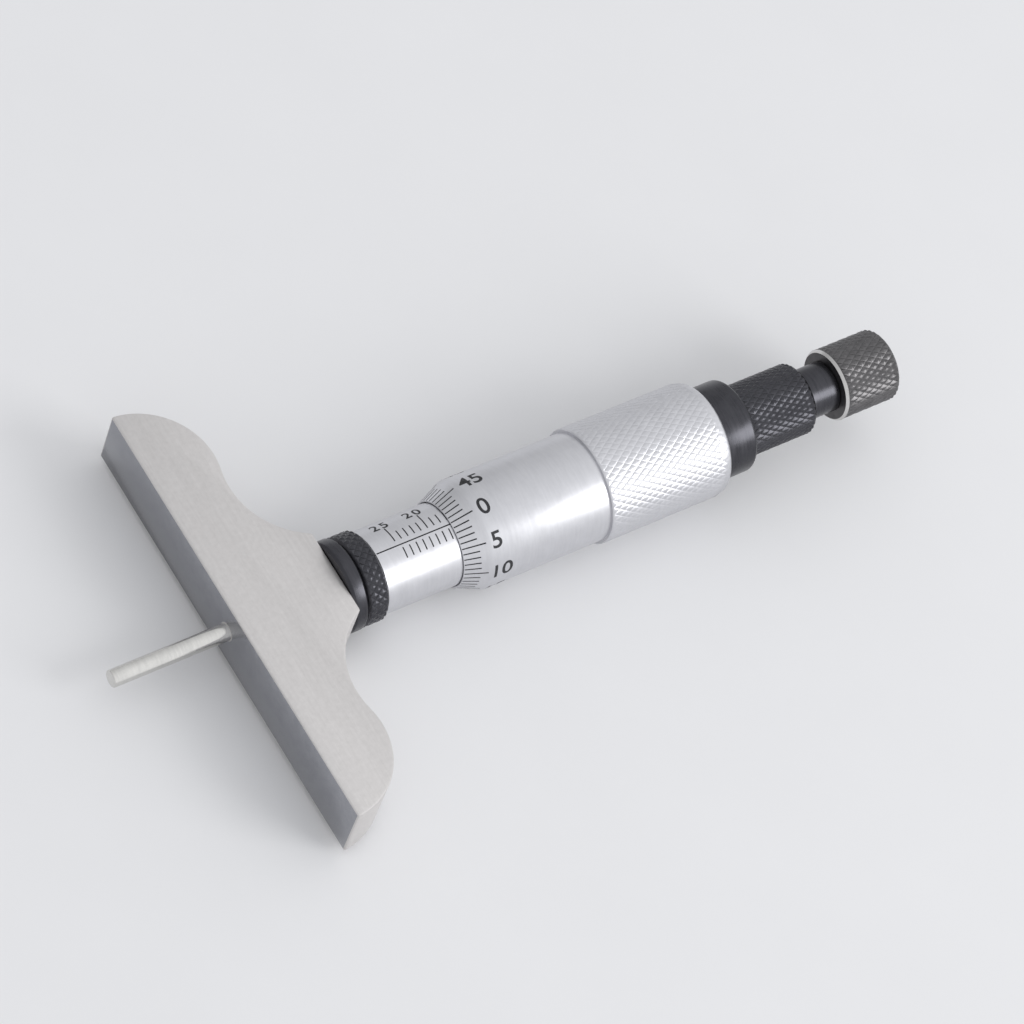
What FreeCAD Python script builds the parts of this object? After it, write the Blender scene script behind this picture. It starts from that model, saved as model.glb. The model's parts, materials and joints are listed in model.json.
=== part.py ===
import FreeCAD, Part
import math
import os

os.makedirs("parts", exist_ok=True)

# Depth micrometer, 0 to 25 mm, with an interchangeable measuring rod.
# All sizes in mm. The spindle axis is X: the measuring face lies at x = 0 and
# the ratchet end points along +X. Every piece is modelled on that axis, then
# the whole instrument is laid down on its lock collar and thimble.

# ---- measuring range and the reading that is shown
scale_length = 25.0
reading = 17.0

# ---- clearances, all radial unless said otherwise
thread_fit = 0.03
slip_fit = 0.02
running_fit = 0.05
thimble_fit = 0.10
end_gap = 0.10
rod_hole_gap = 0.15
spindle_end_gap = 0.50

# ---- base
base_length = 63.5
base_thickness = 9.4
base_height = 15.4
boss_width = 12.4
end_radius = 10.2
end_centre_drop = 0.6
shoulder_radius = 11.3
spigot_floor = 4.0

# ---- measuring rod and its head
rod_diameter = 2.4
rod_tip_chamfer = 0.12
rod_head_clearance = 0.35
rod_nut_length = 1.8
rod_nut_flat_depth = 0.3
rod_lock_length = 1.4

# ---- barrel
guide_bush_length = 5.0
guide_bush_wall = 1.35
spigot_wall = 0.98
root_wall = 1.93
nut_wall = 1.4
barrel_step = 0.4
barrel_bore_clearance = 0.33
barrel_thread_length = 7.0
nut_thread_length = 13.5
barrel_slot_width = 0.8
barrel_slot_count = 3
undercut_length = 0.6

# ---- spindle lock
lock_ring_wall = 2.05
lock_ring_chamfer = 0.35
collar_length = 2.2
lock_nut_length = 3.05
lock_bush_wall = 1.0
lock_bush_length = 4.8
lock_bush_slit = 0.4
lock_pocket_wall = 1.3
lock_slot_width = 0.6
lock_slot_count = 3
lock_slot_turn = 60.0

# ---- sleeve and adjusting nut
sleeve_wall = 0.73
sleeve_first_line = 3.35
sleeve_tail = 3.5
adjusting_nut_wall = 0.77
adjusting_nut_length = 4.0
adjusting_nut_flat_depth = 0.45

# ---- spindle
spindle_wall = 1.92
taper_flange_rise = 1.13
taper_small_rise = 0.53
taper_flange_length = 0.5
stub_wall = 1.75
tip_wall = 1.45
tip_length = 3.6

# ---- thimble
thimble_edge_land = 0.15
thimble_wall = 1.75
bevel_length = 3.7
smooth_length = 18.3
knurl_rise = 0.55
knurl_chamfer = 0.2
thimble_end_round = 1.6
thimble_end_cuts = 3
thimble_floor_gap = 0.4
thimble_end_wall = 4.7
taper_relief = 0.8

# ---- ratchet
ratchet_body_wall = 3.47
ratchet_body_length = 4.9
ratchet_body_chamfer = 0.5
knob_gap = 0.2
knob_wall = 1.0
knob_chamfer = 0.4
knob_web = 1.5
knob_rear_step = 0.35
knob_skirt = 0.8
ratchet_room = 1.1
wheel_length = 1.4
tooth_height = 0.5
tooth_count = 12
click_ring_length = 1.0
click_lug_width = 1.4
click_lug_height = 0.45
click_lug_count = 2
washer_length = 0.5
spring_length = 2.1
spring_wire = 0.5
spring_turns = 2.0
neck_wall = 0.52
neck_length = 4.9
neck_flange_length = 2.4

# ---- rod cap
cap_wall = 2.35
cap_end_wall = 2.25
cap_chamfer = 0.35

# ---- radii that follow, from the rod outwards
rod_r = rod_diameter / 2
rod_bore_r = rod_r + running_fit
guide_bush_r = rod_bore_r + guide_bush_wall
spigot_r = guide_bush_r + slip_fit + spigot_wall
lock_bush_r = rod_bore_r + lock_bush_wall
root_r = lock_bush_r + slip_fit + root_wall
lock_ring_r = root_r + running_fit + lock_ring_wall
spindle_r = rod_bore_r + spindle_wall
nut_bore_r = spindle_r + thread_fit
barrel_thread_r = nut_bore_r + nut_wall
barrel_r = barrel_thread_r + barrel_step
adjusting_nut_r = barrel_thread_r + thread_fit + adjusting_nut_wall
sleeve_bore_r = barrel_r + slip_fit
sleeve_r = sleeve_bore_r + sleeve_wall
thimble_bore_r = sleeve_r + thimble_fit
thimble_r = thimble_bore_r + thimble_wall
knurl_r = thimble_r + knurl_rise
taper_flange_r = spindle_r + taper_flange_rise
taper_small_r = spindle_r + taper_small_rise
stub_r = rod_bore_r + stub_wall
stub_thread_r = stub_r + thread_fit
stub_run_r = stub_r + running_fit
tip_r = rod_bore_r + tip_wall
ratchet_body_r = stub_thread_r + ratchet_body_wall
knob_bore_r = stub_r + ratchet_room
knob_r = knob_bore_r + knob_wall
knob_rear_r = knob_bore_r + knob_rear_step
neck_r = stub_thread_r + neck_wall
cap_bore_r = tip_r + running_fit
cap_r = cap_bore_r + cap_wall
rod_head_r = cap_bore_r - rod_head_clearance

# ---- places along the axis that follow, from the measuring face outwards
lock_nut_x = base_height + collar_length + end_gap
sleeve_x = lock_nut_x + lock_nut_length + end_gap
full_line_x = sleeve_x + sleeve_first_line
zero_line_x = full_line_x + scale_length
sleeve_end_x = zero_line_x + sleeve_tail
adjusting_nut_x = sleeve_end_x + undercut_length
barrel_end_x = adjusting_nut_x + barrel_thread_length
guide_bush_end_x = spigot_floor + guide_bush_length
lock_pocket_x = base_height + lock_pocket_wall
lock_bush_end_x = lock_pocket_x + lock_bush_length
travel_out = scale_length - reading
thimble_x = zero_line_x - reading
bevel_end_x = thimble_x + bevel_length
knurl_x = bevel_end_x + smooth_length
spindle_x = lock_bush_end_x + travel_out + spindle_end_gap
thimble_floor_x = barrel_end_x + travel_out + thimble_floor_gap + taper_flange_length
thimble_end_x = thimble_floor_x + thimble_end_wall
taper_end_x = thimble_end_x - taper_relief
ratchet_end_x = thimble_end_x + ratchet_body_length
knob_x = ratchet_end_x + knob_gap
wheel_end_x = ratchet_end_x + wheel_length
click_ring_x = wheel_end_x + 2 * tooth_height + end_gap
click_end_x = click_ring_x + click_ring_length
washer_x = click_end_x + spring_length
web_x = washer_x + washer_length
web_end_x = web_x + knob_web
neck_flange_x = web_end_x + end_gap
neck_flange_end_x = neck_flange_x + neck_flange_length
knob_end_x = neck_flange_end_x + knob_skirt
cap_x = knob_end_x + neck_length
neck_end_x = cap_x - end_gap
tip_end_x = neck_end_x + tip_length
rod_lock_x = tip_end_x + rod_nut_length
rod_end_x = rod_lock_x + rod_lock_length
cap_floor_x = rod_end_x + end_gap
cap_end_x = cap_floor_x + cap_end_wall


def vec(x, y=0.0, z=0.0):
    return FreeCAD.Vector(x, y, z)


def revolve(points):
    """A solid turned about the X axis from (x, radius) points."""
    corners = [vec(x, 0, r) for x, r in points]
    face = Part.Face(Part.makePolygon(corners + corners[:1]))
    return face.revolve(vec(0), vec(1), 360)


def tube(x0, x1, outer_r, inner_r, rim=0.0):
    """A ring from x0 to x1, with a chamfer on both outer rims if rim is set."""
    if not rim:
        return revolve([(x0, inner_r), (x0, outer_r), (x1, outer_r), (x1, inner_r)])
    outside = [(x0, outer_r - rim), (x0 + rim, outer_r), (x1 - rim, outer_r), (x1, outer_r - rim)]
    return revolve([(x0, inner_r)] + outside + [(x1, inner_r)])


def rod_solid(x0, x1, radius):
    return Part.makeCylinder(radius, x1 - x0, vec(x0), vec(1))


def turned_round(x_face, r_top, radius, cuts):
    """The rim between a cylinder of r_top and its end face at x_face, turned in a few cuts along an arc."""
    points = []
    for i in range(cuts + 1):
        a = math.pi / 2 * i / cuts
        points.append((x_face - radius * (1 - math.sin(a)), r_top - radius * (1 - math.cos(a))))
    return points


def around(shape, count, start=0.0):
    """Copies of a shape, evenly turned about the axis."""
    copies = []
    for i in range(count):
        c = shape.copy()
        c.rotate(vec(0), vec(1), start + 360.0 * i / count)
        copies.append(c)
    return copies


def radial_slots(x0, x1, width, reach, count, start=0.0):
    """Slots that run out from the axis on one side each."""
    box = Part.makeBox(x1 - x0, width, reach, vec(x0, -width / 2, 0))
    return around(box, count, start)


def flats(solid, x0, x1, radius, depth):
    """Cut two spanner flats on opposite sides."""
    for low in (radius - depth, -2 * radius + depth):
        solid = solid.cut(Part.makeBox(x1 - x0, radius, 2 * radius, vec(x0, low, -radius)))
    return solid


def hexagon(x0, x1, corner_r):
    ring = [math.pi / 3 * i for i in range(7)]
    points = [vec(x0, corner_r * math.cos(a), corner_r * math.sin(a)) for a in ring]
    return Part.Face(Part.makePolygon(points)).extrude(vec(x1 - x0))


# ---- base: a flat T with convex ends and hollow shoulders up to the boss
def arc_by_centre(start, end, centre, radius):
    chord = (start + end).multiply(0.5)
    out = chord.sub(centre).normalize().multiply(radius)
    return Part.Arc(start, centre.add(out), end).toShape()


def base_outline():
    half = base_length / 2
    corner = vec(base_height, boss_width / 2)
    end_centre = vec(-end_centre_drop, half - math.sqrt(end_radius**2 - end_centre_drop**2))
    reach = end_radius + shoulder_radius
    line = corner.sub(end_centre)
    span = line.Length
    along = (reach**2 - shoulder_radius**2 + span**2) / (2 * span)
    across = math.sqrt(reach**2 - along**2)
    unit = vec(line.x / span, line.y / span)
    hollow_centre = end_centre.add(vec(unit.x * along - unit.y * across, unit.y * along + unit.x * across))
    share = end_radius / reach
    meet = end_centre.add(hollow_centre.sub(end_centre).multiply(share))
    tip = vec(0, half)
    mirror = lambda p: vec(p.x, -p.y)
    edges = [
        Part.makeLine(mirror(tip), tip),
        arc_by_centre(tip, meet, end_centre, end_radius),
        arc_by_centre(meet, corner, hollow_centre, shoulder_radius),
        Part.makeLine(corner, mirror(corner)),
        arc_by_centre(mirror(corner), mirror(meet), mirror(hollow_centre), shoulder_radius),
        arc_by_centre(mirror(meet), mirror(tip), mirror(end_centre), end_radius),
    ]
    return Part.Wire(edges)


def make_base():
    face = Part.Face(base_outline())
    face.translate(vec(0, 0, -base_thickness / 2))
    block = face.extrude(vec(0, 0, base_thickness))
    rod_hole = rod_solid(-end_gap, spigot_floor + end_gap, rod_r + rod_hole_gap)
    spigot_bore = rod_solid(spigot_floor, base_height + end_gap, spigot_r + thread_fit)
    return block.cut(rod_hole).cut(spigot_bore)


# ---- barrel: the fixed inner tube that carries the nut thread
def make_barrel():
    nut_x = barrel_end_x - nut_thread_length
    solid = revolve(
        [
            (spigot_floor, guide_bush_r + slip_fit),
            (spigot_floor, spigot_r),
            (base_height, spigot_r),
            (base_height, root_r),
            (sleeve_x, root_r),
            (sleeve_x, barrel_r),
            (sleeve_end_x, barrel_r),
            (adjusting_nut_x, barrel_thread_r),
            (barrel_end_x, barrel_thread_r),
            (barrel_end_x, nut_bore_r),
            (nut_x, nut_bore_r),
            (nut_x, spindle_r + barrel_bore_clearance),
            (lock_bush_end_x, spindle_r + barrel_bore_clearance),
            (lock_bush_end_x, lock_bush_r + slip_fit),
            (lock_pocket_x, lock_bush_r + slip_fit),
            (lock_pocket_x, rod_bore_r + rod_hole_gap),
            (guide_bush_end_x, rod_bore_r + rod_hole_gap),
            (guide_bush_end_x, guide_bush_r + slip_fit),
        ]
    )
    slot_end = barrel_end_x + end_gap
    slots = radial_slots(adjusting_nut_x, slot_end, barrel_slot_width, 2 * barrel_r, barrel_slot_count)
    lock_end = sleeve_x - end_gap
    slots += radial_slots(lock_nut_x, lock_end, lock_slot_width, 2 * barrel_r, lock_slot_count, lock_slot_turn)
    for slot in slots:
        solid = solid.cut(slot)
    return solid


def make_guide_bush():
    return tube(spigot_floor, guide_bush_end_x, guide_bush_r, rod_bore_r)


# ---- spindle lock
def make_collar():
    return tube(base_height, base_height + collar_length, lock_ring_r, root_r + slip_fit, lock_ring_chamfer)


def make_lock_nut():
    return tube(lock_nut_x, lock_nut_x + lock_nut_length, lock_ring_r, root_r + running_fit, lock_ring_chamfer)


def make_lock_bush():
    bush = tube(lock_pocket_x, lock_bush_end_x, lock_bush_r, rod_bore_r)
    slit = radial_slots(lock_pocket_x - end_gap, lock_bush_end_x + end_gap, lock_bush_slit, 2 * lock_bush_r, 1)
    return bush.cut(slit[0])


# ---- sleeve and adjusting nut
def make_sleeve():
    return tube(sleeve_x, sleeve_end_x, sleeve_r, sleeve_bore_r)


def make_adjusting_nut():
    end_x = adjusting_nut_x + adjusting_nut_length
    nut = tube(adjusting_nut_x, end_x, adjusting_nut_r, barrel_thread_r + thread_fit)
    return flats(nut, adjusting_nut_x, end_x, adjusting_nut_r, adjusting_nut_flat_depth)


# ---- spindle: the hollow screw, with the thimble's taper and the threaded stub
def make_spindle():
    return revolve(
        [
            (spindle_x, rod_bore_r),
            (spindle_x, spindle_r),
            (thimble_floor_x - taper_flange_length, spindle_r),
            (thimble_floor_x - taper_flange_length, taper_flange_r),
            (thimble_floor_x, taper_flange_r),
            (taper_end_x, taper_small_r),
            (taper_end_x, stub_r),
            (neck_end_x, stub_r),
            (neck_end_x, tip_r),
            (tip_end_x, tip_r),
            (tip_end_x, rod_bore_r),
        ]
    )


# ---- thimble
def make_thimble():
    points = [
        (thimble_x, thimble_bore_r),
        (thimble_x, thimble_bore_r + thimble_edge_land),
        (bevel_end_x, thimble_r),
        (knurl_x, thimble_r),
        (knurl_x, knurl_r - knurl_chamfer),
        (knurl_x + knurl_chamfer, knurl_r),
    ]
    points += turned_round(thimble_end_x, knurl_r, thimble_end_round, thimble_end_cuts)
    points += [
        (thimble_end_x, taper_small_r + slip_fit),
        (taper_end_x, taper_small_r + slip_fit),
        (thimble_floor_x, taper_flange_r + slip_fit),
        (thimble_floor_x, thimble_bore_r),
    ]
    return revolve(points)


# ---- ratchet stop
def make_ratchet_body():
    return revolve(
        [
            (thimble_end_x, stub_thread_r),
            (thimble_end_x, ratchet_body_r),
            (ratchet_end_x - ratchet_body_chamfer, ratchet_body_r),
            (ratchet_end_x, ratchet_body_r - ratchet_body_chamfer),
            (ratchet_end_x, stub_thread_r),
        ]
    )


def saw_tooth(x_root, height, r_in, r_out, lean):
    """One saw tooth on a ring face; it stands from x_root by height, and lean sets the way it slopes."""
    root = x_root - height / 5
    pitch = 2 * math.pi / tooth_count
    width = lean * r_out * math.tan(pitch)
    profile = [vec(root), vec(root, width), vec(x_root, width), vec(x_root + height), vec(root)]
    wedge = Part.Face(Part.makePolygon(profile)).extrude(vec(0, 0, 2 * r_out))
    low, high = sorted((root, x_root + height))
    corners = [vec(low), vec(low, 0, 2 * r_out), vec(low, 2 * width, 2 * r_out), vec(low)]
    sector = Part.Face(Part.makePolygon(corners)).extrude(vec(high - low))
    ring = rod_solid(low, high, r_out).cut(rod_solid(low, high, r_in))
    return wedge.common(sector).common(ring)


def make_ratchet_wheel():
    r_out = knob_bore_r - thimble_fit
    ring = tube(ratchet_end_x, wheel_end_x, r_out, stub_thread_r)
    tooth = saw_tooth(wheel_end_x, tooth_height, stub_thread_r, r_out, 1)
    return ring.multiFuse(around(tooth, tooth_count)).removeSplitter()


def make_click_ring():
    r_out = knob_bore_r - slip_fit
    ring = tube(click_ring_x, click_end_x, r_out, stub_run_r)
    tooth = saw_tooth(click_ring_x, -tooth_height, stub_run_r, r_out, -1)
    reach = r_out + click_lug_height - stub_run_r
    lug_corner = vec(click_ring_x, -click_lug_width / 2, stub_run_r)
    lug = Part.makeBox(click_ring_length, click_lug_width, reach, lug_corner)
    lug = lug.cut(rod_solid(click_ring_x, click_end_x, (stub_run_r + r_out) / 2))
    return ring.multiFuse(around(tooth, tooth_count) + around(lug, click_lug_count)).removeSplitter()


def make_ratchet_spring():
    """A wave spring: one flat strip wound on edge between the click ring and the washer."""
    mean_r = (knob_bore_r + stub_r) / 2
    height = spring_length - spring_wire
    helix = Part.makeHelix(height / spring_turns, height, mean_r)
    half = spring_wire / 2
    corners = [vec(mean_r + a * half, 0, b * half) for a, b in ((-1, -1), (1, -1), (1, 1), (-1, 1), (-1, -1))]
    coil = Part.Wire(helix).makePipeShell([Part.makePolygon(corners)], True, True)
    coil.rotate(vec(0), vec(0, 1), 90)
    coil.translate(vec(click_end_x + half))
    return coil


def make_ratchet_washer():
    return tube(washer_x, web_x, knob_bore_r - slip_fit, stub_run_r)


def make_ratchet_knob():
    knob = revolve(
        [
            (knob_x, knob_bore_r),
            (knob_x, knob_r - knob_chamfer),
            (knob_x + knob_chamfer, knob_r),
            (knob_end_x - knob_chamfer, knob_r),
            (knob_end_x, knob_r - knob_chamfer),
            (knob_end_x, knob_rear_r),
            (web_end_x, knob_rear_r),
            (web_end_x, stub_run_r),
            (web_x, stub_run_r),
            (web_x, knob_bore_r),
        ]
    )
    reach = knob_bore_r + click_lug_height + running_fit
    width = click_lug_width + 2 * running_fit
    for slot in radial_slots(knob_x - end_gap, web_x, width, reach, click_lug_count):
        knob = knob.cut(slot)
    return knob


def make_ratchet_nut():
    flange_r = knob_rear_r - running_fit
    return revolve(
        [
            (neck_flange_x, stub_thread_r),
            (neck_flange_x, flange_r),
            (neck_flange_end_x, flange_r),
            (neck_flange_end_x, neck_r),
            (neck_end_x, neck_r),
            (neck_end_x, stub_thread_r),
        ]
    )


# ---- rod cap, measuring rod and its head
def make_rod_cap():
    return revolve(
        [
            (cap_x, cap_bore_r),
            (cap_x, cap_r - cap_chamfer),
            (cap_x + cap_chamfer, cap_r),
            (cap_end_x - cap_chamfer, cap_r),
            (cap_end_x, cap_r - cap_chamfer),
            (cap_end_x, 0),
            (cap_floor_x, 0),
            (cap_floor_x, cap_bore_r),
        ]
    )


def make_measuring_rod():
    tip = [(-reading, 0), (-reading, rod_r - rod_tip_chamfer), (-reading + rod_tip_chamfer, rod_r)]
    return revolve(tip + [(rod_end_x, rod_r), (rod_end_x, 0)])


def make_rod_adjusting_nut():
    nut = tube(tip_end_x, rod_lock_x, rod_head_r, rod_r + thread_fit)
    return flats(nut, tip_end_x, rod_lock_x, rod_head_r, rod_nut_flat_depth)


def make_rod_lock_nut():
    blank = hexagon(rod_lock_x, rod_end_x, rod_head_r)
    return blank.cut(rod_solid(rod_lock_x, rod_end_x, rod_r + thread_fit))


parts = {
    "base": make_base(),
    "guide_bush": make_guide_bush(),
    "barrel": make_barrel(),
    "collar_ring": make_collar(),
    "lock_nut": make_lock_nut(),
    "lock_bush": make_lock_bush(),
    "sleeve": make_sleeve(),
    "adjusting_nut": make_adjusting_nut(),
    "spindle": make_spindle(),
    "thimble": make_thimble(),
    "ratchet_body": make_ratchet_body(),
    "ratchet_wheel": make_ratchet_wheel(),
    "click_ring": make_click_ring(),
    "ratchet_spring": make_ratchet_spring(),
    "ratchet_washer": make_ratchet_washer(),
    "ratchet_knob": make_ratchet_knob(),
    "ratchet_nut": make_ratchet_nut(),
    "rod_cap": make_rod_cap(),
    "measuring_rod": make_measuring_rod(),
    "rod_adjusting_nut": make_rod_adjusting_nut(),
    "rod_lock_nut": make_rod_lock_nut(),
}

# ---- the instrument lies on the rims of its lock collar and its thimble
rest_run = knurl_x + knurl_chamfer - base_height - lock_ring_chamfer
rest_rise = knurl_r - lock_ring_r
rest_tilt = math.degrees(math.atan2(rest_rise, rest_run))
tilt = FreeCAD.Placement(vec(0), FreeCAD.Rotation(vec(0, 1), -rest_tilt))
everything = Part.makeCompound([s.transformGeometry(tilt.toMatrix()) for s in parts.values()])
box = everything.optimalBoundingBox(False)
shift = vec(-(box.XMin + box.XMax) / 2, -(box.YMin + box.YMax) / 2, -box.ZMin)

for node, solid in parts.items():
    placed = solid.copy()
    placed.Placement = FreeCAD.Placement(shift, tilt.Rotation).multiply(placed.Placement)
    placed.exportStep("parts/" + node + ".step")
    print(node, placed.ShapeType, len(placed.Solids), placed.isValid(), round(placed.Volume, 3))

print("tilt", rest_tilt)
print("shift", shift.x, shift.y, shift.z)
print("axial places", thimble_x, knurl_x, thimble_end_x, knob_x, knob_end_x, cap_x, cap_end_x, spindle_x)
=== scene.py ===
import json
import math
import bmesh
import bpy
from mathutils import Matrix, Vector


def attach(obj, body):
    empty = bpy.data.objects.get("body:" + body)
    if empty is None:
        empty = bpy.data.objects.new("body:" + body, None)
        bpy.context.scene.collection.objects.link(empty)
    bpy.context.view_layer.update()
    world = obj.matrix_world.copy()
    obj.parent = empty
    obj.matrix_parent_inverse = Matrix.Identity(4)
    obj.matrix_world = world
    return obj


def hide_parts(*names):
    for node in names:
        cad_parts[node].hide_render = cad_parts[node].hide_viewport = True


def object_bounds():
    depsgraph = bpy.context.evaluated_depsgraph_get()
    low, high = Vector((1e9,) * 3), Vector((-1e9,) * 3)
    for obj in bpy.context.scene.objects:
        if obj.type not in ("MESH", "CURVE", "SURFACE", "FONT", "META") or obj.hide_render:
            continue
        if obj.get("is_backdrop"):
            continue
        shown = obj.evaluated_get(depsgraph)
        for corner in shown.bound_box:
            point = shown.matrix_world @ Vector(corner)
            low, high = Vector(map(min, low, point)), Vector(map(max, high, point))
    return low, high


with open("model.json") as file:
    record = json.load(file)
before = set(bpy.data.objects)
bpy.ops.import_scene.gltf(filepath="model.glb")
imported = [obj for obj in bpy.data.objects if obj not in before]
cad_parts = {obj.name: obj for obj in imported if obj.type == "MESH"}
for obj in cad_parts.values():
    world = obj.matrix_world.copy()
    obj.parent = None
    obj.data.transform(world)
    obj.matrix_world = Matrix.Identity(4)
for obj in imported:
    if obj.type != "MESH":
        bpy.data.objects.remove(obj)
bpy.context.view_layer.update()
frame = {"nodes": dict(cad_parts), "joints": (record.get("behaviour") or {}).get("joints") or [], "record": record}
print("frame loaded")

scene = bpy.context.scene
scene.view_settings.view_transform = "Standard"

# where the spindle lies: mm along it from the measuring face, turned and moved into the frame
thimbleJoint = next(j for j in frame["joints"] if j["name"] == "thimble_turn")
measuringMount = next(m for m in frame["record"]["mounts"] if m["name"] == "measuring_face")
spindleAxis = Vector(thimbleJoint["axis"]).normalized()
spindlePoint = Vector(thimbleJoint["pos_m"])
toFace = Vector(measuringMount["pos_m"]) - spindlePoint
faceCentre = spindlePoint + spindleAxis * toFace.dot(spindleAxis)
tilt = math.atan2(spindleAxis.z, spindleAxis.x)
mm = 0.001
lay = Matrix.Translation(faceCentre) @ Matrix.Rotation(-tilt, 4, "Y") @ Matrix.Scale(mm, 4)
unlay = lay.inverted()


def nodeSpan(node):
    # first and last place along the spindle, and the smallest and largest radius, in mm
    points = [unlay @ v.co for v in frame["nodes"][node].data.vertices]
    along = [p.x for p in points]
    away = [math.hypot(p.y, p.z) for p in points]
    return min(along), max(along), min(away), max(away)


# helpers that turn, round and finish a piece
def radiusOf(v):
    return math.hypot(v.co.y, v.co.z)


def angleOf(v):
    return math.atan2(v.co.y, v.co.z)


def drawProfile(points, closed=True):
    # (x, radius) points joined by edges, ready to spin
    bm = bmesh.new()
    verts = [bm.verts.new((x, 0, r)) for x, r in points]
    ends = verts[1:] + verts[:1] if closed else verts[1:]
    edges = [bm.edges.new(pair) for pair in zip(verts, ends)]
    return bm, verts + edges


def turnEven(points, steps, closed=True):
    # the lathe: a profile of (x, radius) spun once round the spindle
    bm, geom = drawProfile(points, closed)
    bmesh.ops.spin(
        bm, geom=geom, cent=(0, 0, 0), axis=(-1, 0, 0), angle=math.tau, steps=steps, use_merge=True
    )
    return cleaned(bm)


def turnStops(points, stops):
    # the same, stopping at chosen angles, so that engraved lines have edges of their own
    bm, geom = drawProfile(points)
    at = stops[0]
    bmesh.ops.rotate(bm, verts=bm.verts, cent=(0, 0, 0), matrix=Matrix.Rotation(-at, 3, "X"))
    for stop in stops[1:] + [stops[0] + math.tau]:
        out = bmesh.ops.spin(bm, geom=geom, cent=(0, 0, 0), axis=(-1, 0, 0), angle=stop - at, steps=1)
        geom, at = out["geom_last"], stop
    return cleaned(bm)


def cleaned(bm):
    # doubles merged and faces turned outwards
    bmesh.ops.remove_doubles(bm, verts=bm.verts, dist=1e-4)
    bmesh.ops.recalc_face_normals(bm, faces=bm.faces)
    return bm


def roundRims(bm, rims, segments=3):
    # each rim is (x, radius, size)
    for x, r, size in rims:
        ring = [
            e for e in bm.edges
            if all(abs(v.co.x - x) < 1e-3 and abs(radiusOf(v) - r) < 1e-3 for v in e.verts)
        ]
        bmesh.ops.bevel(
            bm, geom=ring, offset=size, affect="EDGES", segments=segments, profile=0.5, material=-1
        )
    return bm


def spread(start, end, count):
    # the ends of count even steps
    return [start + (end - start) * i / count for i in range(count + 1)]


def pressKnurl(bm, rows, around, flat):
    # crossed grooves over rows of (place, radius, groove depth): every second point of the grid
    # is a valley, the others are the diamonds' tops, which are then cut flat
    turn = math.tau / around
    valleys, tops = [], []
    for number, (x, r, depth) in enumerate(rows):
        ring = [v for v in bm.verts if abs(v.co.x - x) < 1e-3 and abs(radiusOf(v) - r) < 1e-3]
        for v in ring:
            if (number + round(angleOf(v) / turn)) % 2:
                valleys.append(v)
                v.co.yz = v.co.yz * ((r - depth) / r)
            else:
                tops.append(v)
    bmesh.ops.connect_verts(bm, verts=valleys)
    bmesh.ops.bevel(
        bm, geom=tops, offset=flat, offset_type="PERCENT", affect="VERTICES",
        segments=1, profile=0.5, material=-1,
    )
    return bm


def finishPiece(bm, name, body, materials, replaced=None, sharpAngle=32):
    # lays the piece along the spindle and hands it to its body
    mesh = bpy.data.meshes.new(name)
    bmesh.ops.transform(bm, matrix=lay, verts=bm.verts)
    bm.to_mesh(mesh)
    bm.free()
    piece = bpy.data.objects.new(name, mesh)
    scene.collection.objects.link(piece)
    for material in materials:
        mesh.materials.append(material)
    mesh.shade_smooth()
    mesh.set_sharp_from_angle(angle=math.radians(sharpAngle))
    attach(piece, body)
    if replaced:
        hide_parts(replaced)
    print("piece", name, len(mesh.polygons), "faces")


# materials
def startMaterial(name):
    material = bpy.data.materials.new(name)
    material.use_nodes = True
    nodes, links = material.node_tree.nodes, material.node_tree.links
    shader = nodes["Principled BSDF"]
    coords = nodes.new("ShaderNodeTexCoord")
    return material, nodes, links, shader, coords.outputs["Object"]


def mapped(nodes, links, source, scale, turn=(0, 0, 0)):
    mapping = nodes.new("ShaderNodeMapping")
    mapping.inputs["Scale"].default_value = scale
    mapping.inputs["Rotation"].default_value = turn
    links.new(source, mapping.inputs["Vector"])
    return mapping.outputs["Vector"]


def noiseFrom(nodes, links, vector, scale, detail=4.0, roughness=0.6):
    noise = nodes.new("ShaderNodeTexNoise")
    noise.inputs["Scale"].default_value = scale
    noise.inputs["Detail"].default_value = detail
    noise.inputs["Roughness"].default_value = roughness
    links.new(vector, noise.inputs["Vector"])
    return noise.outputs["Fac"]


def rangeFrom(nodes, links, value, low, high, fromLow=0.3, fromHigh=0.7):
    node = nodes.new("ShaderNodeMapRange")
    node.inputs["From Min"].default_value = fromLow
    node.inputs["From Max"].default_value = fromHigh
    node.inputs["To Min"].default_value = low
    node.inputs["To Max"].default_value = high
    links.new(value, node.inputs["Value"])
    return node.outputs["Result"]


def colourFrom(nodes, links, value, dark, light):
    ramp = nodes.new("ShaderNodeValToRGB")
    ramp.color_ramp.elements[0].position = 0.3
    ramp.color_ramp.elements[0].color = (*dark, 1)
    ramp.color_ramp.elements[1].position = 0.7
    ramp.color_ramp.elements[1].color = (*light, 1)
    links.new(value, ramp.inputs["Fac"])
    return ramp.outputs["Color"]


def bumpFrom(nodes, links, shader, height, distance):
    bump = nodes.new("ShaderNodeBump")
    bump.inputs["Strength"].default_value = 1.0
    bump.inputs["Distance"].default_value = distance
    links.new(height, bump.inputs["Height"])
    links.new(bump.outputs["Normal"], shader.inputs["Normal"])


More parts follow.
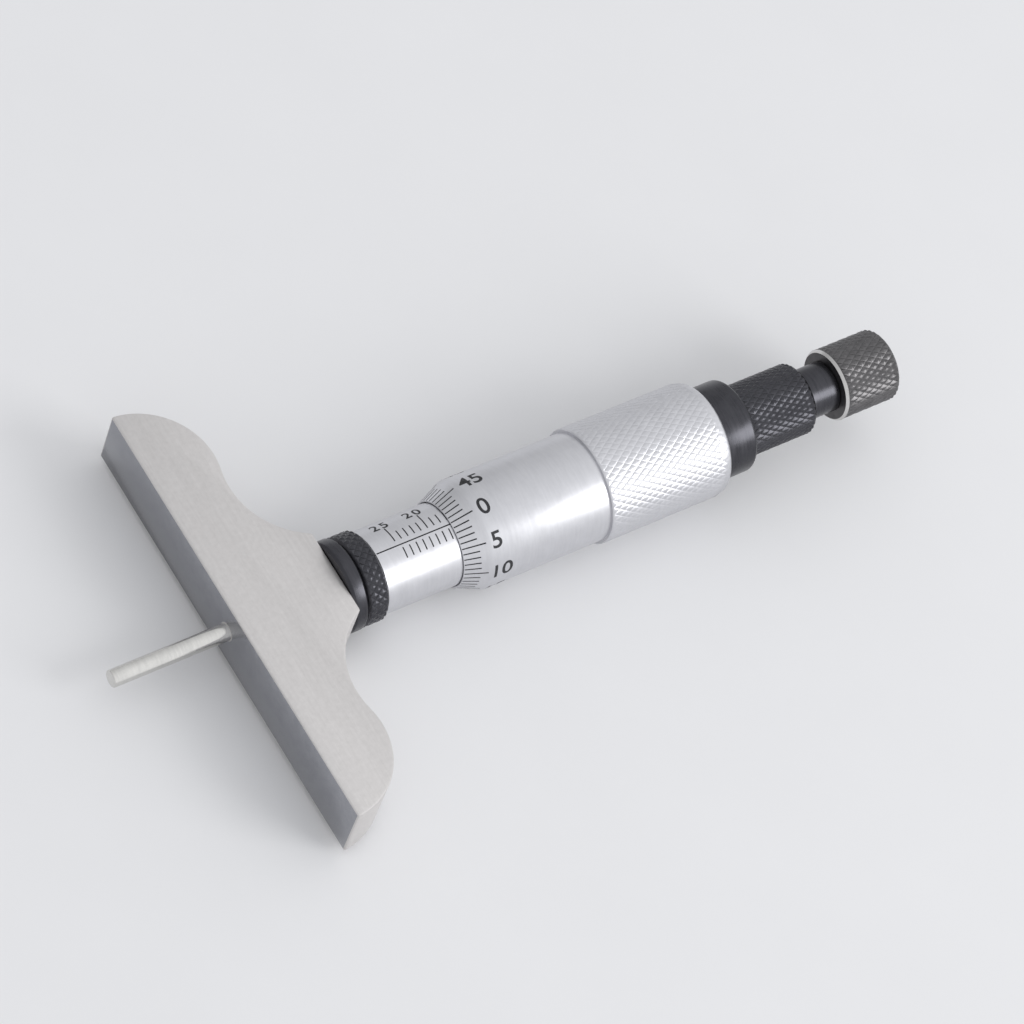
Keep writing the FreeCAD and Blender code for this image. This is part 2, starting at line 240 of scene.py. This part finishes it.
def metalFinish(name, look):
    # ground, satin, turned or blackened steel: a cloudy tone, fine tool marks and a soft gloss
    material, nodes, links, shader, source = startMaterial(name)
    alongSpindle = mapped(nodes, links, source, (1, 1, 1), turn=(0, tilt, 0))
    cloud = noiseFrom(nodes, links, alongSpindle, look["cloudScale"], 3)
    marksVector = mapped(nodes, links, alongSpindle, look["markStretch"])
    marks = noiseFrom(nodes, links, marksVector, look["markScale"], 5, 0.7)
    blend = nodes.new("ShaderNodeMath")
    blend.operation = "MULTIPLY_ADD"
    blend.inputs[1].default_value = look["markShare"]
    links.new(marks, blend.inputs[0])
    part = nodes.new("ShaderNodeMath")
    part.operation = "MULTIPLY"
    part.inputs[1].default_value = 1 - look["markShare"]
    links.new(cloud, part.inputs[0])
    links.new(part.outputs[0], blend.inputs[2])
    tone = colourFrom(nodes, links, blend.outputs[0], look["dark"], look["light"])
    gloss = rangeFrom(nodes, links, blend.outputs[0], look["roughLow"], look["roughHigh"])
    links.new(tone, shader.inputs["Base Color"])
    links.new(gloss, shader.inputs["Roughness"])
    shader.inputs["Metallic"].default_value = look["metallic"]
    bumpFrom(nodes, links, shader, marks, look["bump"])
    return material


finishes = {
    "groundSteel": {
        "dark": (0.58, 0.56, 0.55), "light": (0.68, 0.66, 0.65), "metallic": 0.6,
        "roughLow": 0.44, "roughHigh": 0.54, "cloudScale": 1500, "markScale": 2600,
        "markStretch": (1, 0.05, 1), "markShare": 0.5, "bump": 0.00001,
    },
    # lapped measuring face: its lower roughness is the real lapped finish, and its darker tone is painted shade
    # standing in for the dark surroundings this face mirrors
    "lappedSteelPaintedShade": {
        "dark": (0.31, 0.315, 0.34), "light": (0.38, 0.385, 0.41), "metallic": 1.0,
        "roughLow": 0.20, "roughHigh": 0.28, "cloudScale": 700, "markScale": 1800,
        "markStretch": (1, 1, 1), "markShare": 0.4, "bump": 0.000004,
    },
    "satinChrome": {
        "dark": (0.60, 0.60, 0.625), "light": (0.69, 0.69, 0.715), "metallic": 0.95,
        "roughLow": 0.30, "roughHigh": 0.38, "cloudScale": 500, "markScale": 2600,
        "markStretch": (1, 0.12, 0.12), "markShare": 0.6, "bump": 0.000006,
    },
    "blackSteel": {
        "dark": (0.050, 0.050, 0.057), "light": (0.085, 0.085, 0.094), "metallic": 1.0,
        "roughLow": 0.24, "roughHigh": 0.33, "cloudScale": 500, "markScale": 2400,
        "markStretch": (1, 0.1, 0.1), "markShare": 0.6, "bump": 0.000006,
    },
    "toolSteel": {
        "dark": (0.36, 0.36, 0.37), "light": (0.48, 0.48, 0.49), "metallic": 0.9,
        "roughLow": 0.3, "roughHigh": 0.42, "cloudScale": 400, "markScale": 2000,
        "markStretch": (1, 0.15, 0.15), "markShare": 0.6, "bump": 0.000008,
    },
    "springSteel": {
        "dark": (0.20, 0.20, 0.22), "light": (0.30, 0.30, 0.32), "metallic": 0.9,
        "roughLow": 0.28, "roughHigh": 0.4, "cloudScale": 600, "markScale": 2500,
        "markStretch": (1, 1, 1), "markShare": 0.5, "bump": 0.000006,
    },
    "capSteel": {
        "dark": (0.10, 0.098, 0.10), "light": (0.17, 0.165, 0.168), "metallic": 0.95,
        "roughLow": 0.26, "roughHigh": 0.38, "cloudScale": 700, "markScale": 2400,
        "markStretch": (1, 0.3, 0.3), "markShare": 0.4, "bump": 0.000006,
    },
    "rimSteel": {
        "dark": (0.60, 0.59, 0.58), "light": (0.72, 0.71, 0.70), "metallic": 1.0,
        "roughLow": 0.16, "roughHigh": 0.24, "cloudScale": 700, "markScale": 2400,
        "markStretch": (1, 0.1, 0.1), "markShare": 0.6, "bump": 0.000004,
    },
    "brightSteel": {
        "dark": (0.62, 0.61, 0.59), "light": (0.76, 0.75, 0.72), "metallic": 1.0,
        "roughLow": 0.12, "roughHigh": 0.2, "cloudScale": 500, "markScale": 2600,
        "markStretch": (1, 0.1, 0.1), "markShare": 0.6, "bump": 0.000003,
    },
    "engravingBlack": {
        "dark": (0.010, 0.010, 0.012), "light": (0.022, 0.022, 0.026), "metallic": 0.0,
        "roughLow": 0.55, "roughHigh": 0.7, "cloudScale": 900, "markScale": 2500,
        "markStretch": (1, 1, 1), "markShare": 0.5, "bump": 0.000006,
    },
}
made = {name: metalFinish(name, look) for name, look in finishes.items()}
slotFinish = {
    "ground_steel": "groundSteel", "satin_chrome": "satinChrome", "black_steel": "blackSteel",
    "tool_steel": "toolSteel", "spring_steel": "springSteel", "cap_steel": "capSteel",
    "bright_steel": "brightSteel",
}
for part in frame["record"]["subparts"]:
    node = frame["nodes"][part["node"]]
    node.data.materials.clear()
    node.data.materials.append(made[slotFinish[part["material_slot"]]])
print("finishes ready")


# base: the flat T with convex ends and hollow shoulders
baseValues = {
    "endRadius": 10.2, "endDrop": 0.6, "shoulderRadius": 11.3, "bossWidth": 12.4, "arcSteps": 28,
    "edgeBreak": 0.28, "edgeAngle": 40, "holeRadius": 1.35, "holeDepth": 3.9, "holeWindow": 2.4,
    "holeCuts": 9,
}


def measuringFaces(bm):
    # faces that look the way the rod comes out
    return [f for f in bm.faces if f.normal.x < -0.99]


def faceByRod(bm):
    return min(measuringFaces(bm), key=lambda f: f.calc_center_median().length)


def buildBase(values):
    points = [unlay @ v.co for v in frame["nodes"]["base"].data.vertices]
    half = max(p.y for p in points)
    height = max(p.x for p in points)
    halfThick = max(p.z for p in points)
    endReach = math.sqrt(values["endRadius"]**2 - values["endDrop"]**2)
    endCentre = Vector((-values["endDrop"], half - endReach, 0))
    corner = Vector((height, values["bossWidth"] / 2, 0))
    reach = values["endRadius"] + values["shoulderRadius"]
    line = corner - endCentre
    along = (reach**2 - values["shoulderRadius"]**2 + line.length**2) / (2 * line.length)
    across = math.sqrt(reach**2 - along**2)
    unit = line.normalized()
    hollowCentre = endCentre + unit * along + Vector((-unit.y, unit.x, 0)) * across

    def heading(p, centre):
        return math.atan2(p.y - centre.y, p.x - centre.x)

    bm = bmesh.new()
    tip = Vector((0, half, 0))
    meet = endCentre + (hollowCentre - endCentre) * values["endRadius"] / reach
    start = bm.verts.new(tip)
    turn = heading(meet, endCentre) - heading(tip, endCentre)
    arc = bmesh.ops.spin(
        bm, geom=[start], cent=endCentre, axis=(0, 0, 1), angle=turn, steps=values["arcSteps"]
    )
    turn = heading(corner, hollowCentre) - heading(meet, hollowCentre)
    turn = (turn + math.pi) % math.tau - math.pi
    bmesh.ops.spin(
        bm, geom=arc["geom_last"], cent=hollowCentre, axis=(0, 0, 1), angle=turn, steps=values["arcSteps"]
    )
    bmesh.ops.mirror(bm, geom=bm.verts[:] + bm.edges[:], matrix=Matrix.Identity(4), merge_dist=0, axis="Y")
    loose = [v for v in bm.verts if len(v.link_edges) == 1]
    loose.sort(key=lambda v: (v.co.x, v.co.y))
    bm.edges.new(loose[:2])
    bm.edges.new(loose[2:])
    bmesh.ops.translate(bm, verts=bm.verts, vec=(0, 0, -halfThick))
    bmesh.ops.contextual_create(bm, geom=bm.edges[:])
    raised = bmesh.ops.extrude_face_region(bm, geom=bm.faces[:])
    lifted = [g for g in raised["geom"] if isinstance(g, bmesh.types.BMVert)]
    bmesh.ops.translate(bm, verts=lifted, vec=(0, 0, 2 * halfThick))
    bmesh.ops.recalc_face_normals(bm, faces=bm.faces)
    bm.normal_update()
    # broken edges all round
    rims = [e for e in bm.edges if e.calc_face_angle(0) > math.radians(values["edgeAngle"])]
    bmesh.ops.bevel(
        bm, geom=rims, offset=values["edgeBreak"], affect="EDGES", segments=2, profile=0.5, material=-1
    )
    # the rod's hole: a window cut in the measuring face, drawn in to a circle and sunk
    bm.normal_update()
    window = values["holeWindow"]
    for side in (window, -window):
        face = faceByRod(bm)
        near = [face] + list(face.edges) + list(face.verts)
        bmesh.ops.bisect_plane(bm, geom=near, plane_co=(0, side, 0), plane_no=(0, 1, 0), dist=1e-5)
    face = faceByRod(bm)
    bmesh.ops.inset_individual(bm, faces=[face], thickness=window / 2, depth=0)
    bmesh.ops.subdivide_edges(bm, edges=list(face.edges), cuts=values["holeCuts"])
    hole = faceByRod(bm)
    for v in hole.verts:
        v.co.yz = v.co.yz.normalized() * values["holeRadius"]
    sunk = bmesh.ops.extrude_face_region(bm, geom=[hole])
    deep = [g for g in sunk["geom"] if isinstance(g, bmesh.types.BMVert)]
    bmesh.ops.translate(bm, verts=deep, vec=(values["holeDepth"], 0, 0))
    cleaned(bm)
    bm.normal_update()
    # the measuring faces take the lapped finish, whose darker tone is painted shade
    for f in measuringFaces(bm):
        f.material_index = 1
    return bm


finishPiece(
    buildBase(baseValues), "baseBlock", "base_body",
    [made["groundSteel"], made["lappedSteelPaintedShade"]], "base",
)


# collar and knurled lock nut
collarValues = {"steps": 128, "chamfer": 0.35, "edge": 0.08}
lockNutValues = {
    "diamondsRound": 31, "rows": 4, "depth": 0.24, "flat": 34, "chamfer": 0.32, "rimDrop": 0.7,
}


def buildCollar(values):
    x0, x1, inner, outer = nodeSpan("collar_ring")
    c = values["chamfer"]
    bm = turnEven(
        [(x0, inner), (x0, outer - c), (x0 + c, outer), (x1 - c, outer), (x1, outer - c), (x1, inner)],
        values["steps"],
    )
    return roundRims(bm, [(x0 + c, outer, values["edge"]), (x1 - c, outer, values["edge"])])


def buildKnurledRing(node, values):
    # a knurled ring, chamfered at both ends
    x0, x1, inner, outer = nodeSpan(node)
    c = values["chamfer"]
    rim = outer - values["depth"] - c * values["rimDrop"]
    rows = [(x, outer, values["depth"]) for x in spread(x0 + c, x1 - c, values["rows"])]
    profile = [(x0, inner), (x0, rim)] + [row[:2] for row in rows] + [(x1, rim), (x1, inner)]
    around = 2 * values["diamondsRound"]
    return pressKnurl(turnEven(profile, around), rows, around, values["flat"])


finishPiece(
    buildCollar(collarValues), "collarRing", "base_body", [made["blackSteel"]], "collar_ring"
)
finishPiece(
    buildKnurledRing("lock_nut", lockNutValues), "lockNut", "lock_body",
    [made["blackSteel"]], "lock_nut",
)


# sleeve with its engraved millimetre scale
sleeveValues = {
    "datumTurn": math.radians(-4), "lineWidth": 0.18, "datumWidth": 0.18, "farGap": 0.7, "nearGap": 0.45,
    "millimetreLine": 1.45, "fiveLine": 2.65, "halfLine": 1.5, "grooveDepth": 0.05, "grooveWall": 0.012,
    "firstLine": 3.35, "linePitch": 0.5, "range": 25, "plainSteps": 64, "endMargin": 0.12,
    "splits": (4, 1, 2, 4, 3, 1), "numberSize": 2.2, "numberGap": 0.06, "numberBold": 0.04,
    "numberShift": -0.3, "numberSpacing": 1.3, "numberWide": 1.0,
}
digitValues = {"thick": 0.06, "proud": 0.004, "strips": 10, "halfHeight": 0.36}


def buildSleeve(values):
    x0, x1, inner, outer = nodeSpan("sleeve")
    half, datumHalf = values["lineWidth"] / 2, values["datumWidth"] / 2
    datum = values["datumTurn"]
    first, pitch = x0 + values["firstLine"], values["linePitch"]
    lines = [first + pitch * i for i in range(round(values["range"] / pitch) + 1)]
    places = [x0, x0 + values["endMargin"]]
    for x in lines:
        places += [x - half, x + half]
    places += [x1 - values["endMargin"], x1]

    def turnOf(distance):
        return datum + distance / outer

    near, far = values["nearGap"], values["farGap"]
    marks = [
        -near - values["halfLine"], -near, -datumHalf, datumHalf,
        far, far + values["millimetreLine"], far + values["fiveLine"],
    ]
    stops = []
    for low, high, pieces in zip(marks, marks[1:], values["splits"]):
        stops += [turnOf(m) for m in spread(low, high, pieces)[:-1]]
    stops.append(turnOf(marks[-1]))
    rest = spread(stops[-1], stops[0] + math.tau, values["plainSteps"])
    stops += rest[1:-1]
    bm = turnStops([(x0, inner)] + [(x, outer) for x in places] + [(x1, inner)], stops)
    bm.normal_update()
    cut = []
    for f in bm.faces:
        centre = f.calc_center_median()
        if math.hypot(centre.y, centre.z) < outer - values["grooveDepth"] or abs(f.normal.x) > 0.5:
            continue
        away = (math.atan2(centre.y, centre.z) - datum) * outer
        if abs(away) < datumHalf and places[1] < centre.x < places[-2]:
            cut.append(f)
            continue
        index = min(range(len(lines)), key=lambda i: abs(lines[i] - centre.x))
        if abs(lines[index] - centre.x) > half:
            continue
        if index % 2:
            wanted = -near - values["halfLine"] < away < -near
        else:
            length = values["fiveLine"] if index % 10 == 0 else values["millimetreLine"]
            wanted = far < away < far + length
        if wanted:
            cut.append(f)
    return engrave(bm, cut, values["grooveWall"], values["grooveDepth"])


def engrave(bm, cut, wall, depth):
    # sinks the chosen faces and paints their floor and walls
    walls = bmesh.ops.inset_region(
        bm, faces=cut, thickness=wall, depth=-depth, use_boundary=True, use_even_offset=True
    )
    for f in cut + walls["faces"]:
        f.material_index = 1
    return bm


def numberMesh(text, size, thick, bold, spacing):
    # flat digits, cut into narrow strips so that they can follow a curved surface
    curve = bpy.data.curves.new("number", "FONT")
    curve.body = text
    curve.size = size
    curve.space_character = spacing
    curve.extrude = thick / 2
    curve.offset = bold
    holder = bpy.data.objects.new("number", curve)
    scene.collection.objects.link(holder)
    mesh = bpy.data.meshes.new_from_object(holder)
    part = bmesh.new()
    part.from_mesh(mesh)
    bmesh.ops.remove_doubles(part, verts=part.verts, dist=1e-5)
    bpy.data.objects.remove(holder)
    bpy.data.meshes.remove(mesh)
    low = min(v.co.y for v in part.verts)
    high = max(v.co.y for v in part.verts)
    for level in spread(low, high, digitValues["strips"])[1:-1]:
        geom = part.verts[:] + part.edges[:] + part.faces[:]
        bmesh.ops.bisect_plane(part, geom=geom, plane_co=(0, level, 0), plane_no=(0, 1, 0))
    return part, low, high


def wrapNumber(target, text, values, x, turn, radiusAt, centred):
    # digits stand with their feet towards falling angles and read along the spindle
    thick = digitValues["thick"]
    part, low, high = numberMesh(
        text, values["numberSize"], thick, values["numberBold"], values["numberSpacing"]
    )
    left = min(v.co.x for v in part.verts)
    right = max(v.co.x for v in part.verts)
    shift = -(left + right) / 2 if centred else -left
    for v in part.verts:
        px = x + (v.co.x + shift) * values["numberWide"]
        r = radiusAt + digitValues["proud"] - thick / 2 + v.co.z
        angle = turn + (v.co.y - (low + high) / 2) / radiusAt
        v.co = (px, r * math.sin(angle), r * math.cos(angle))
    bmesh.ops.recalc_face_normals(part, faces=part.faces)
    copied = bpy.data.meshes.new("digits")
    part.to_mesh(copied)
    part.free()
    target.from_mesh(copied)
    bpy.data.meshes.remove(copied)


def buildSleeveNumbers(values):
    # the numbers stand beyond the ends of the five-millimetre lines
    x0, _, _, outer = nodeSpan("sleeve")
    bm = bmesh.new()
    reach = values["farGap"] + values["fiveLine"] + values["numberGap"]
    turn = values["datumTurn"] + (reach + values["numberSize"] * digitValues["halfHeight"]) / outer
    for i in range(0, values["range"] + 1, 5):
        x = x0 + values["firstLine"] + i + values["numberShift"]
        wrapNumber(bm, str(values["range"] - i), values, x, turn, outer, True)
    return bm


finishPiece(
    buildSleeve(sleeveValues), "sleeveTube", "base_body",
    [made["satinChrome"], made["engravingBlack"]], "sleeve",
)
finishPiece(
    buildSleeveNumbers(sleeveValues), "sleeveNumbers", "base_body", [made["engravingBlack"]]
)


# thimble: bevel with fifty lines, smooth band, knurled grip
thimbleValues = {
    "land": 0.15, "bevelLength": 3.7, "smoothLength": 18.3, "knurlRise": 0.55, "bore": 5.85,
    "divisions": 50, "shortLine": 2.1, "longLine": 3.0, "lineWidth": 0.18, "lineStart": 0.06,
    "stepsBetween": 3, "grooveDepth": 0.05, "grooveWall": 0.012, "numberSize": 3.2, "numberStart": 3.75,
    "numberWide": 1.1, "numberSpacing": 1.0, "numberBold": 0.045, "diamondsRound": 49, "rows": 22,
    "depth": 0.15, "flat": 55, "rimDrop": 0.05, "endRound": 1.6, "endRow": 0.8, "endSteps": 6,
    "chamfer": 0.2, "endWall": 4.7, "endBore": 4.2,
}
x0, x1, _, outer = nodeSpan("thimble")
bevelEnd = x0 + thimbleValues["bevelLength"]
thimblePlaces = {
    "start": x0, "bevelEnd": bevelEnd, "gripStart": bevelEnd + thimbleValues["smoothLength"], "end": x1,
    "grip": outer, "band": outer - thimbleValues["knurlRise"],
}


def buildThimbleBand(values, at):
    bore, edge = values["bore"], values["bore"] + values["land"]
    slope = (at["band"] - edge) / values["bevelLength"]

    def onBevel(distance):
        return at["start"] + distance, edge + slope * distance

    profile = [(at["start"], bore), (at["start"], edge)]
    profile += [onBevel(values[name]) for name in ("lineStart", "shortLine", "longLine")]
    profile += [(at["bevelEnd"], at["band"]), (at["gripStart"], at["band"]), (at["gripStart"], bore)]
    pitch = math.tau / values["divisions"]
    datum = sleeveValues["datumTurn"]
    middle = edge + slope * values["longLine"] / 2
    half = values["lineWidth"] / 2 / middle
    stops = []
    for i in range(values["divisions"]):
        centre = datum + i * pitch
        stops += spread(centre - half, centre + half, 1)
        stops += spread(centre + half, centre + pitch - half, values["stepsBetween"])[1:-1]
    bm = turnStops(profile, stops)
    bm.normal_update()
    cut = []
    for f in bm.faces:
        centre = f.calc_center_median()
        along = centre.x - at["start"]
        if not -0.9 < f.normal.x < -0.2:  # only the bevel leans this much
            continue
        place = (math.atan2(centre.y, centre.z) - datum) / pitch
        if abs(place - round(place)) * pitch > half:
            continue
        length = values["longLine"] if round(place) % 5 == 0 else values["shortLine"]
        if values["lineStart"] < along < length:
            cut.append(f)
    return engrave(bm, cut, values["grooveWall"], values["grooveDepth"])


def buildThimbleGrip(values, at):
    # the knurl runs a little way over the rounded end
    outer, depth, r = at["grip"], values["depth"], values["endRound"]
    end = at["end"] - r

    def onRound(x):
        return x, outer - r + math.sqrt(r**2 - (x - end)**2)

    rows = [(x, outer, depth) for x in spread(at["gripStart"] + values["chamfer"], end, values["rows"])]
    rows.append((*onRound(end + values["endRow"]), depth / 2))
    last = math.asin(values["endRow"] / r)
    bends = spread(last, math.pi / 2, values["endSteps"])[1:]
    profile = [(at["gripStart"], values["bore"]), (at["gripStart"], outer - depth - values["rimDrop"])]
    profile += [row[:2] for row in rows]
    profile += [(end + r * math.sin(a), outer - r + r * math.cos(a)) for a in bends]
    wallStart = at["end"] - values["endWall"]
    profile += [(at["end"], values["endBore"]), (wallStart, values["endBore"]), (wallStart, values["bore"])]
    around = 2 * values["diamondsRound"]
    return pressKnurl(turnEven(profile, around), rows, around, values["flat"])


def buildThimbleNumbers(values, at):
    bm = bmesh.new()
    start = at["start"] + values["numberStart"]
    for i in range(0, values["divisions"], 5):
        turn = sleeveValues["datumTurn"] - i * math.tau / values["divisions"]
        wrapNumber(bm, str(i), values, start, turn, at["band"], False)
    return bm


finishPiece(
    buildThimbleBand(thimbleValues, thimblePlaces), "thimbleBand", "thimble_body",
    [made["satinChrome"], made["engravingBlack"]], "thimble",
)
finishPiece(
    buildThimbleGrip(thimbleValues, thimblePlaces), "thimbleGrip", "thimble_body",
    [made["satinChrome"]], "thimble",
)
finishPiece(
    buildThimbleNumbers(thimbleValues, thimblePlaces), "thimbleNumbers", "thimble_body",
    [made["engravingBlack"]],
)


# ratchet stop, rod cap and rod
ratchetValues = {"steps": 128, "frontEdge": 0.12, "rearRound": 0.6, "roundSteps": 8}
knobValues = {
    "diamondsRound": 32, "rows": 12, "depth": 0.22, "flat": 30, "chamfer": 0.4, "rimDrop": 0.6,
    "bore": 4.12, "rearBore": 4.45, "webStart": 84.9, "webEnd": 86.4, "webBore": 3.05,
}
neckValues = {"steps": 96, "edge": 0.1, "radius": 3.55, "flange": 2.4}
capValues = {
    "diamondsRound": 31, "rows": 10, "depth": 0.24, "flat": 28, "chamfer": 0.35, "rimDrop": 0.6,
    "landDrop": 0.04, "landLength": 0.05, "knurlGap": 0.15, "bore": 2.75, "boreDepth": 6.8,
}
rodValues = {"steps": 64, "tip": 0.18}


def buildRatchetRing(values):
    x0, x1, inner, outer = nodeSpan("ratchet_body")
    bm = turnEven([(x0, inner), (x0, outer), (x1, outer), (x1, inner)], values["steps"])
    roundRims(bm, [(x0, outer, values["frontEdge"])])
    return roundRims(bm, [(x1, outer, values["rearRound"])], values["roundSteps"])


def buildKnob(values):
    x0, x1, _, outer = nodeSpan("ratchet_knob")
    c = values["chamfer"]
    rim = outer - values["depth"] - c * values["rimDrop"]
    rows = [(x, outer, values["depth"]) for x in spread(x0 + c, x1 - c, values["rows"])]
    profile = [(x0, values["bore"]), (x0, rim)] + [row[:2] for row in rows] + [(x1, rim)]
    profile += [(x1, values["rearBore"]), (values["webEnd"], values["rearBore"])]
    profile += [(values["webEnd"], values["webBore"]), (values["webStart"], values["webBore"])]
    profile.append((values["webStart"], values["bore"]))
    around = 2 * values["diamondsRound"]
    return pressKnurl(turnEven(profile, around), rows, around, values["flat"])


def buildNeck(values):
    x0, x1, inner, outer = nodeSpan("ratchet_nut")
    neck, flangeEnd = values["radius"], x0 + values["flange"]
    profile = [(x0, inner), (x0, outer), (flangeEnd, outer), (flangeEnd, neck), (x1, neck), (x1, inner)]
    bm = turnEven(profile, values["steps"])
    return roundRims(bm, [(flangeEnd, outer, values["edge"])])


def buildCap(values):
    # the front rim is a plain bright chamfer, and the knurl starts behind it
    x0, x1, _, outer = nodeSpan("rod_cap")
    c, land = values["chamfer"], outer - values["landDrop"]
    landEnd, knurlStart = x0 + c + values["landLength"], x0 + c + values["knurlGap"]
    rows = [(x, outer, values["depth"]) for x in spread(knurlStart, x1 - c, values["rows"])]
    profile = [(x0, values["bore"]), (x0, outer - c), (x0 + c, land), (landEnd, land)]
    profile += [row[:2] for row in rows] + [(x1, outer - values["depth"] - c * values["rimDrop"])]
    boreEnd = x0 + values["boreDepth"]
    profile += [(x1, 0), (boreEnd, 0), (boreEnd, values["bore"])]
    around = 2 * values["diamondsRound"]
    bm = pressKnurl(turnEven(profile, around), rows, around, values["flat"])
    bm.normal_update()
    for f in bm.faces:
        centre = f.calc_center_median()
        onRim = centre.x < x0 + c and math.hypot(centre.y, centre.z) > outer - c
        if onRim and -0.95 < f.normal.x < -0.3:
            f.material_index = 1
    return bm


def buildRod(values):
    x0, x1, _, outer = nodeSpan("measuring_rod")
    bm = turnEven([(x0, 0), (x0, outer), (x1, outer), (x1, 0)], values["steps"], closed=False)
    return roundRims(bm, [(x0, outer, values["tip"])])


finishPiece(
    buildRatchetRing(ratchetValues), "ratchetRing", "thimble_body", [made["blackSteel"]],
    "ratchet_body",
)
finishPiece(
    buildKnob(knobValues), "ratchetKnob", "knob_body", [made["blackSteel"]], "ratchet_knob"
)
finishPiece(
    buildNeck(neckValues), "ratchetNeck", "thimble_body", [made["blackSteel"]], "ratchet_nut"
)
finishPiece(
    buildCap(capValues), "rodCap", "cap_body", [made["capSteel"], made["rimSteel"]], "rod_cap"
)
finishPiece(
    buildRod(rodValues), "rodBar", "rod_body", [made["brightSteel"]], "measuring_rod"
)
print("pieces ready")


# floor, light and camera
stageValues = {
    "floorSize": 3.0, "floorColour": (0.80, 0.80, 0.81), "floorShade": 0.985, "floorGrain": 40,
    "floorRough": 0.8, "floorSheen": 0.2, "skyColour": (0.97, 0.98, 1.0), "skyLow": 0.5, "skyHigh": 1.0,
    "skyReach": 0.8, "keyWay": (0.53, -0.68, 0.50), "keyDistance": 0.9, "keyPower": 2.6, "keySize": 0.42,
}


def buildFloor(values):
    bm = bmesh.new()
    bmesh.ops.create_grid(bm, x_segments=1, y_segments=1, size=values["floorSize"] / 2)
    mesh = bpy.data.meshes.new("floor")
    bm.to_mesh(mesh)
    bm.free()
    floor = bpy.data.objects.new("floor", mesh)
    scene.collection.objects.link(floor)
    material, nodes, links, shader, source = startMaterial("floorPaper")
    grain = noiseFrom(nodes, links, source, values["floorGrain"], 3)
    pale = values["floorColour"]
    tone = colourFrom(nodes, links, grain, tuple(c * values["floorShade"] for c in pale), pale)
    links.new(tone, shader.inputs["Base Color"])
    shader.inputs["Roughness"].default_value = values["floorRough"]
    shader.inputs["Specular IOR Level"].default_value = values["floorSheen"]
    mesh.materials.append(material)
    floor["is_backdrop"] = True


def addKeyLight(values):
    # a soft lamp that looks at the middle of the part
    light = bpy.data.lights.new("keyLight", "AREA")
    light.energy = values["keyPower"]
    light.size = values["keySize"]
    lamp = bpy.data.objects.new("keyLight", light)
    scene.collection.objects.link(lamp)
    place = Vector(values["keyWay"]) * values["keyDistance"]
    lamp.location = place
    lamp.rotation_mode = "QUATERNION"
    lamp.rotation_quaternion = (-place).to_track_quat("-Z", "Y")


def buildSky(values):
    # a soft room: brightest on the key light's side and dimmer on the far side
    world = bpy.data.worlds.new("studio")
    world.use_nodes = True
    nodes, links = world.node_tree.nodes, world.node_tree.links
    coords = nodes.new("ShaderNodeTexCoord")
    towards = nodes.new("ShaderNodeVectorMath")
    towards.operation = "DOT_PRODUCT"
    towards.inputs[1].default_value = Vector(values["keyWay"]).normalized()
    links.new(coords.outputs["Generated"], towards.inputs[0])
    sky = nodes["Background"]
    sky.inputs["Color"].default_value = (*values["skyColour"], 1)
    strength = rangeFrom(
        nodes, links, towards.outputs["Value"], values["skyLow"], values["skyHigh"],
        -values["skyReach"], values["skyReach"],
    )
    links.new(strength, sky.inputs["Strength"])
    scene.world = world


buildFloor(stageValues)
addKeyLight(stageValues)
buildSky(stageValues)

# place in mm and upward way, both from the measuring face and along the spindle
cameraValues = {"place": (-249.6, -231.2, 545.2), "up": (0.3124, 0.7629, 0.5660), "lens": 178}


def addCamera(values):
    low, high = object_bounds()
    target = (low + high) / 2
    place = lay @ Vector(values["place"])
    up = (lay.to_3x3() @ Vector(values["up"])).normalized()
    back = (place - target).normalized()
    right = up.cross(back).normalized()
    upward = back.cross(right)
    data = bpy.data.cameras.new("camera")
    data.lens = values["lens"]
    camera = bpy.data.objects.new("camera", data)
    scene.collection.objects.link(camera)
    turn = Matrix((right, upward, back)).transposed().to_4x4()
    camera.matrix_world = Matrix.Translation(place) @ turn
    scene.camera = camera


addCamera(cameraValues)
print("stage ready")
